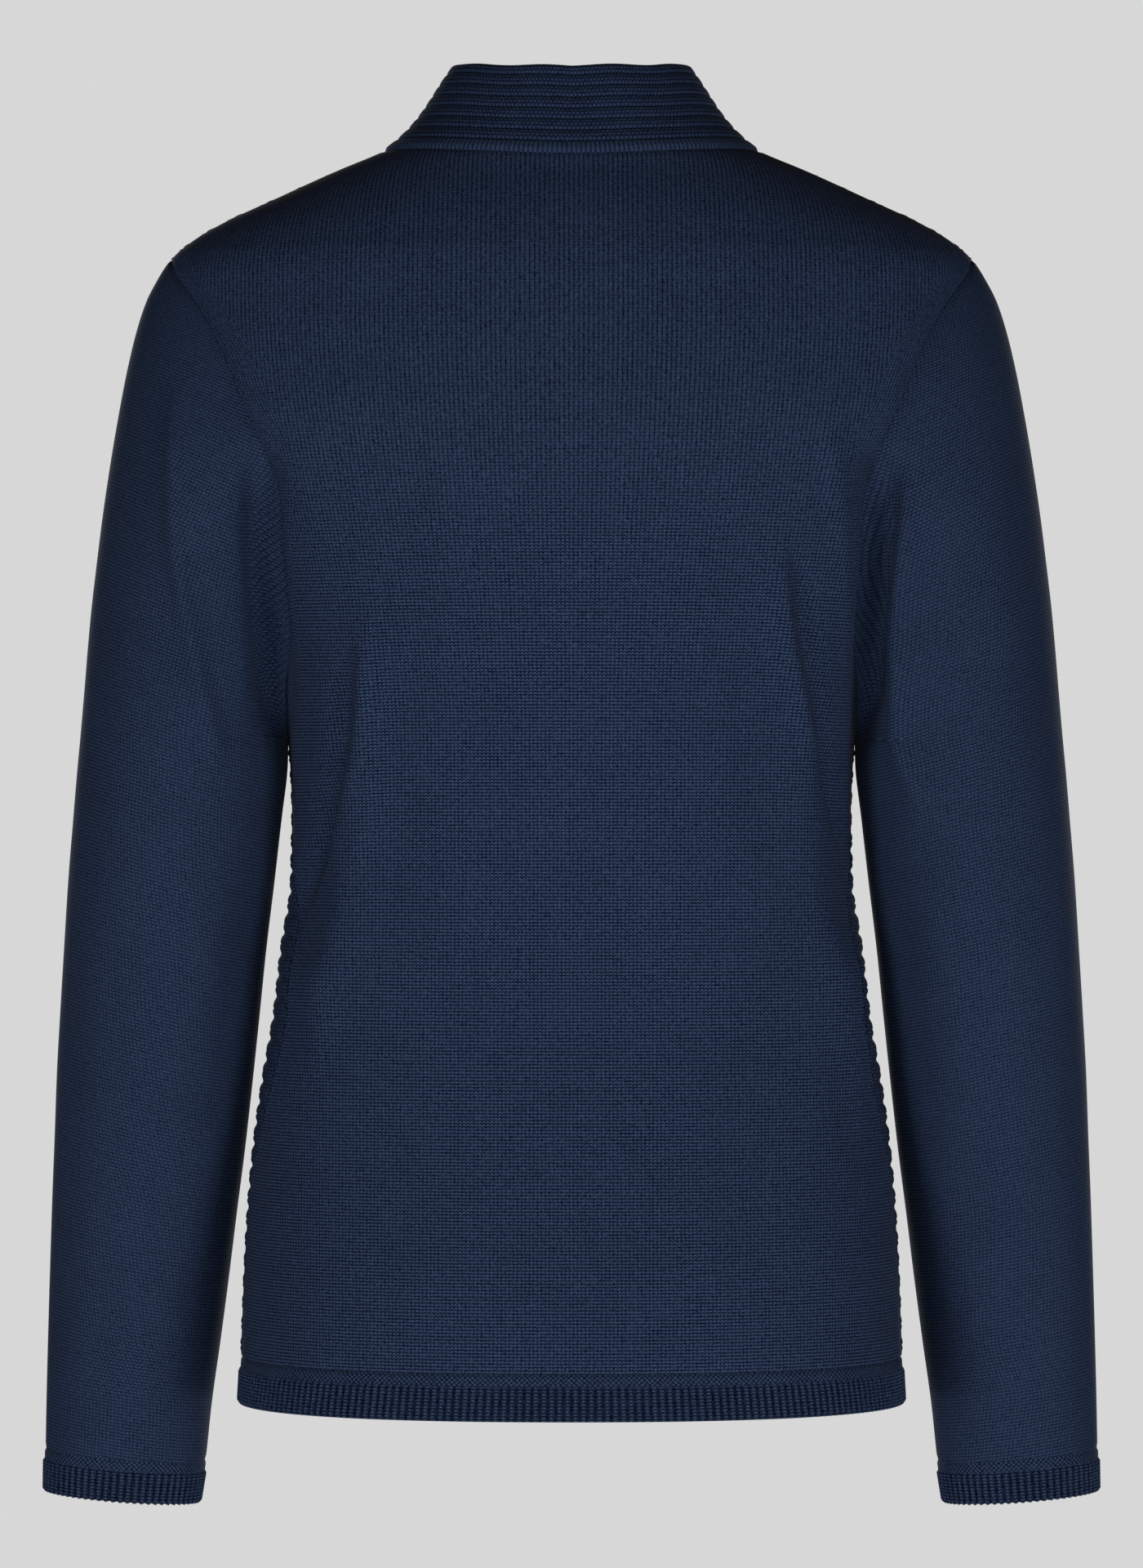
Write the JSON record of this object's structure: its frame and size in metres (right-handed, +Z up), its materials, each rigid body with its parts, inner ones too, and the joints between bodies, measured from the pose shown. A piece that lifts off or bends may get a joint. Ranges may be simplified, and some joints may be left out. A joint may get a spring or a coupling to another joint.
{
  "type": "zip-up cardigan",
  "caption": "Fine-knit zip-up cardigan with a standing ridged collar, set-in sleeves and ribbed hem and cuffs, filled out as worn, its zip closed and its pull tab free to swing.",
  "frame": {"origin": "middle of the neck opening, level with the points where the shoulder seams meet the collar: the place where the wearer's shoulders carry it", "axes": "+Z up, the front faces -Y, the back faces +Y, the wearer's left is at +X"},
  "size_m": [0.5364, 0.2483, 0.7248],
  "materials": {
    "knit": "fine plain knit, matte navy blue",
    "rib": "ribbed and ridged knit, matte navy blue, a little darker",
    "zip_tape": "woven tape, dark navy",
    "zip_metal": "dark satin metal"
  },
  "bodies": {
    "garment": {"back_panel": "knit", "front_left": "knit", "front_right": "knit", "sleeve_left": "knit", "sleeve_right": "knit", "collar": "rib", "hem_back": "rib", "hem_front_left": "rib", "hem_front_right": "rib", "cuff_left": "rib", "cuff_right": "rib", "zip_tape_left": "zip_tape", "zip_tape_right": "zip_tape", "zip_chain": "zip_metal", "zip_box": "zip_metal", "zip_slider": "zip_metal"},
    "pull_tab": {"pull_tab": "zip_metal"}
  },
  "joints": [
    {"name": "pull_tab_swing", "type": "hinge", "parent": "garment", "child": "pull_tab", "pos_m": [0, -0.07714, -0.03612], "axis": [-1, 0, 0], "range_deg": [0, 160]}
  ]
}
